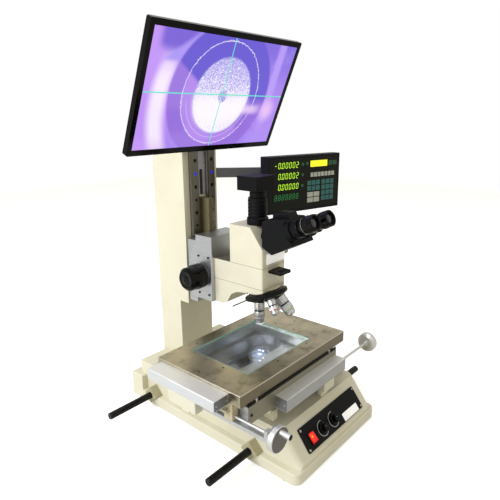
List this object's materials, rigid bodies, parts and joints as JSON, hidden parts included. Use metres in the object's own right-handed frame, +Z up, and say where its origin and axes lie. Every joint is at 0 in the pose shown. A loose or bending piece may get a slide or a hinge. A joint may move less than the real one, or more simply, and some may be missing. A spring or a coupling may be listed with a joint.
{
  "type": "measuring_microscope",
  "caption": "Measuring microscope with a two-axis scale-reading stage, five-place nosepiece, trinocular head with camera, geared height column, digital readout and tilting monitor",
  "frame": {"origin": "middle of the base's footprint on the table", "axes": "+Z up, -Y towards the operator, +X to the operator's right; the optical axis is vertical in the plane X = 0"},
  "size_m": [0.6154, 0.5485, 0.8514],
  "materials": {
    "cream": "smooth cream enamel",
    "machined": "milled and clear anodised",
    "steel_plate": "ground steel, brown reflections",
    "steel": "ground bright steel",
    "chrome": "polished chrome",
    "black_paint": "satin black enamel",
    "black_plastic": "fine-grained black plastic",
    "black_gloss": "glossy black plastic",
    "grey_paint": "flat grey paint",
    "rubber": "soft black rubber",
    "brass": "dull brass",
    "glass": "clear plate glass with teal edges",
    "red_lens": "lit red rocker",
    "panel": "black anodised plate"
  },
  "bodies": {
    "base": {"base_casting": "cream", "rubber_feet": "rubber", "control_plate": "panel", "power_inlet": "black_plastic", "carrying_bar_front_left": "black_paint", "carrying_bar_front_right": "black_paint", "carrying_bar_rear_left": "black_paint", "carrying_bar_rear_right": "black_paint", "column_casting": "cream", "rail_left": "steel", "rail_right": "steel", "column_cover": "machined", "height_rack": "steel", "stage_bed": "machined", "light_tube": "machined", "x_bearings": "brass", "x_reading_head": "machined", "readout_bracket": "grey_paint", "monitor_mast": "cream"},
    "x_stage": {"x_carriage": "machined", "x_scale_cover": "machined", "y_reading_head": "machined", "y_drive_arm": "machined"},
    "y_stage": {"y_table": "steel_plate", "stage_glass": "glass", "y_scale_cover": "machined", "y_drive_nut": "brass"},
    "x_wheel": {"x_handwheel": "chrome"},
    "y_wheel": {"y_handwheel": "chrome"},
    "nut_lever": {"release_lever": "brass"},
    "z_carriage": {"guide_block_left": "machined", "guide_block_right": "machined", "height_block": "machined", "head_arm": "cream", "filter_section": "cream", "head_housing": "cream", "nosepiece_rod": "steel", "prism_block": "black_paint", "camera_tube": "black_paint"},
    "focus": {"focus_shaft": "steel", "focus_knob_left": "black_plastic", "focus_knob_right": "black_plastic"},
    "nosepiece": {"turret": "black_paint", "objective_low": "chrome", "objective_short": "chrome", "objective_high": "chrome", "objective_slim": "chrome"},
    "filter": {"filter_slide": "black_paint"},
    "path_selector": {"path_rod": "steel"},
    "eye_left": {"eye_tube_left": "black_paint"},
    "eye_right": {"eye_tube_right": "black_paint"},
    "ocular_left": {"eyepiece_left": "black_paint"},
    "ocular_right": {"eyepiece_right": "black_paint"},
    "camera_body": {"camera": "black_plastic"},
    "readout_swing": {"readout_arm": "grey_paint"},
    "readout": {"readout_case": "black_gloss"},
    "monitor_head": {"monitor": "black_gloss"},
    "rocker": {"rocker_switch": "red_lens"},
    "dimmer_left": {"dimmer_knob_left": "black_plastic"},
    "dimmer_right": {"dimmer_knob_right": "black_plastic"}
  },
  "joints": [
    {"name": "x_travel", "type": "slide", "parent": "base", "child": "x_stage", "axis": [1, 0, 0], "range_m": [-0.011, 0.139]},
    {"name": "y_travel", "type": "slide", "parent": "x_stage", "child": "y_stage", "axis": [0, 1, 0], "range_m": [-0.025, 0.075]},
    {"name": "x_handwheel_turn", "type": "hinge", "parent": "base", "child": "x_wheel", "pos_m": [0.2, -0.176, 0.126], "axis": [1, 0, 0], "range_deg": [-7200, 7200]},
    {"name": "y_handwheel_turn", "type": "hinge", "parent": "x_stage", "child": "y_wheel", "pos_m": [-0.225, -0.2, 0.156], "axis": [0, 1, 0], "range_deg": [-7200, 7200]},
    {"name": "nut_lever_turn", "type": "hinge", "parent": "y_stage", "child": "nut_lever", "pos_m": [-0.237, -0.155, 0.168], "axis": [1, 0, 0], "range_deg": [-30, 10]},
    {"name": "height_travel", "type": "slide", "parent": "base", "child": "z_carriage", "axis": [0, 0, 1], "range_m": [-0.01, 0.138]},
    {"name": "focus_turn", "type": "hinge", "parent": "z_carriage", "child": "focus", "pos_m": [0, 0.096, 0.328], "axis": [1, 0, 0], "range_deg": [-500, 40]},
    {"name": "nosepiece_turn", "type": "hinge", "parent": "z_carriage", "child": "nosepiece", "pos_m": [0, -0.05755, 0.29621], "axis": [0, -0.342, -0.9397], "continuous": true},
    {"name": "filter_slide_travel", "type": "slide", "parent": "z_carriage", "child": "filter", "axis": [0, -1, 0], "range_m": [-0.015, 0.03]},
    {"name": "path_rod_travel", "type": "slide", "parent": "z_carriage", "child": "path_selector", "axis": [1, 0, 0], "range_m": [-0.005, 0.008]},
    {"name": "eye_tube_left_swing", "type": "hinge", "parent": "z_carriage", "child": "eye_left", "pos_m": [0, -0.14443, 0.46349], "axis": [0, -0.9063, 0.4226], "range_deg": [-8, 12]},
    {"name": "eyepiece_left_turn", "type": "hinge", "parent": "eye_left", "child": "ocular_left", "pos_m": [-0.027, -0.16619, 0.47363], "axis": [0, -0.9063, 0.4226], "range_deg": [-150, 150]},
    {"name": "eye_tube_right_swing", "type": "hinge", "parent": "z_carriage", "child": "eye_right", "pos_m": [0, -0.14443, 0.46349], "axis": [0, -0.9063, 0.4226], "range_deg": [-12, 8]},
    {"name": "eyepiece_right_turn", "type": "hinge", "parent": "eye_right", "child": "ocular_right", "pos_m": [0.027, -0.16619, 0.47363], "axis": [0, -0.9063, 0.4226], "range_deg": [-150, 150]},
    {"name": "camera_turn", "type": "hinge", "parent": "z_carriage", "child": "camera_body", "pos_m": [0, -0.031, 0.532], "axis": [0, 0, 1], "range_deg": [-90, 90]},
    {"name": "readout_arm_swing", "type": "hinge", "parent": "base", "child": "readout_swing", "pos_m": [0.068, 0.214, 0.5445], "axis": [0, 0, 1], "range_deg": [-5, 60]},
    {"name": "readout_case_swing", "type": "hinge", "parent": "readout_swing", "child": "readout", "pos_m": [0.23139, 0.0415, 0.5445], "axis": [0, 0, 1], "range_deg": [-5, 90]},
    {"name": "monitor_tilt", "type": "hinge", "parent": "base", "child": "monitor_head", "pos_m": [0, 0.10927, 0.74494], "axis": [1, 0, 0], "range_deg": [-23.5, 0]},
    {"name": "power_rocker", "type": "hinge", "parent": "base", "child": "rocker", "pos_m": [-0.0745, -0.23443, 0.0587], "axis": [1, 0, 0], "range_deg": [-14, 14]},
    {"name": "dimmer_left_turn", "type": "hinge", "parent": "base", "child": "dimmer_left", "pos_m": [-0.0365, -0.24063, 0.06539], "axis": [0, 0.7907, -0.6122], "range_deg": [0, 270]},
    {"name": "dimmer_right_turn", "type": "hinge", "parent": "base", "child": "dimmer_right", "pos_m": [0.004, -0.24063, 0.06539], "axis": [0, 0.7907, -0.6122], "range_deg": [0, 270]}
  ],
  "couplings": [
    {"joint": "x_handwheel_turn", "follows": "x_travel", "rad_per_m": 628.3},
    {"joint": "y_handwheel_turn", "follows": "y_travel", "rad_per_m": -628.3},
    {"joint": "focus_turn", "follows": "height_travel", "rad_per_m": -62.5},
    {"joint": "eye_tube_right_swing", "follows": "eye_tube_left_swing", "ratio": -1}
  ]
}
